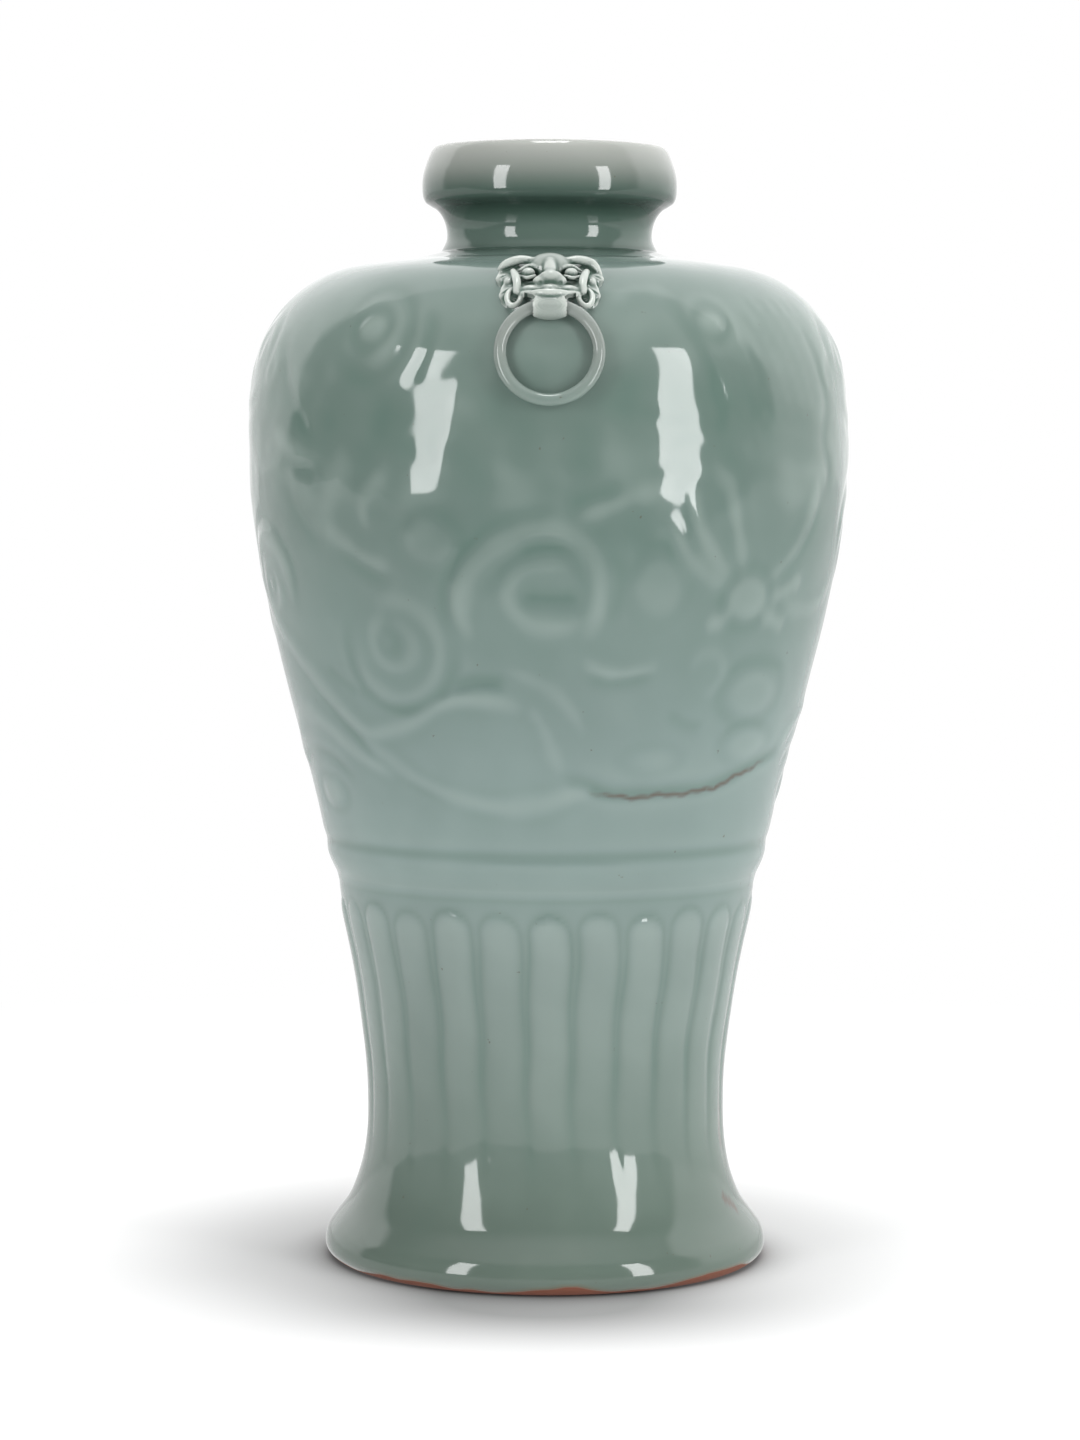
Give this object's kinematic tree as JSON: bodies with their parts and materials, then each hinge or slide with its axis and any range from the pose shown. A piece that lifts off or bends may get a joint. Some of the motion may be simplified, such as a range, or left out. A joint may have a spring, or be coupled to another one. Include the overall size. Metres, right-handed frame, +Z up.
{
  "type": "vase",
  "caption": "Tall shouldered meiping vase with a dished mouth, petal-fluted leg, and animal masks holding loose rings.",
  "frame": {"origin": "centre of the foot, on the surface that the vase stands on", "axes": "+Z up along the vase's axis; -Y is the front, where the first mask and ring are; +X is to the right seen from the front"},
  "size_m": [0.1896, 0.1978, 0.35],
  "materials": {
    "celadon_glaze": "glossy blue-green celadon glaze, pooled darker in the carving and thin on the edges",
    "mouth_glaze": "glossy grey-green glaze over a browner lip",
    "leg_glaze": "glossy pale celadon glaze over carved petals, with a bare brick-red standing edge",
    "sprig_glaze": "glossy celadon glaze, thin and pale on the moulded mask and ring",
    "bare_clay": "unglazed brick-red fired stoneware, matt"
  },
  "bodies": {
    "vase": {"mouth_and_neck": "mouth_glaze", "shoulder_section": "celadon_glaze", "body_section": "celadon_glaze", "foot_section": "leg_glaze", "base_disc": "bare_clay", "front_mask": "sprig_glaze", "rear_mask": "sprig_glaze"},
    "front_ring": {"front_ring": "sprig_glaze"},
    "rear_ring": {"rear_ring": "sprig_glaze"}
  },
  "joints": [
    {"name": "front_ring_lift", "type": "hinge", "parent": "vase", "child": "front_ring", "pos_m": [0, -0.08886, 0.29792], "axis": [-1, 0, 0], "range_deg": [0, 120]},
    {"name": "rear_ring_lift", "type": "hinge", "parent": "vase", "child": "rear_ring", "pos_m": [0, 0.08886, 0.29792], "axis": [1, 0, 0], "range_deg": [0, 120]}
  ]
}
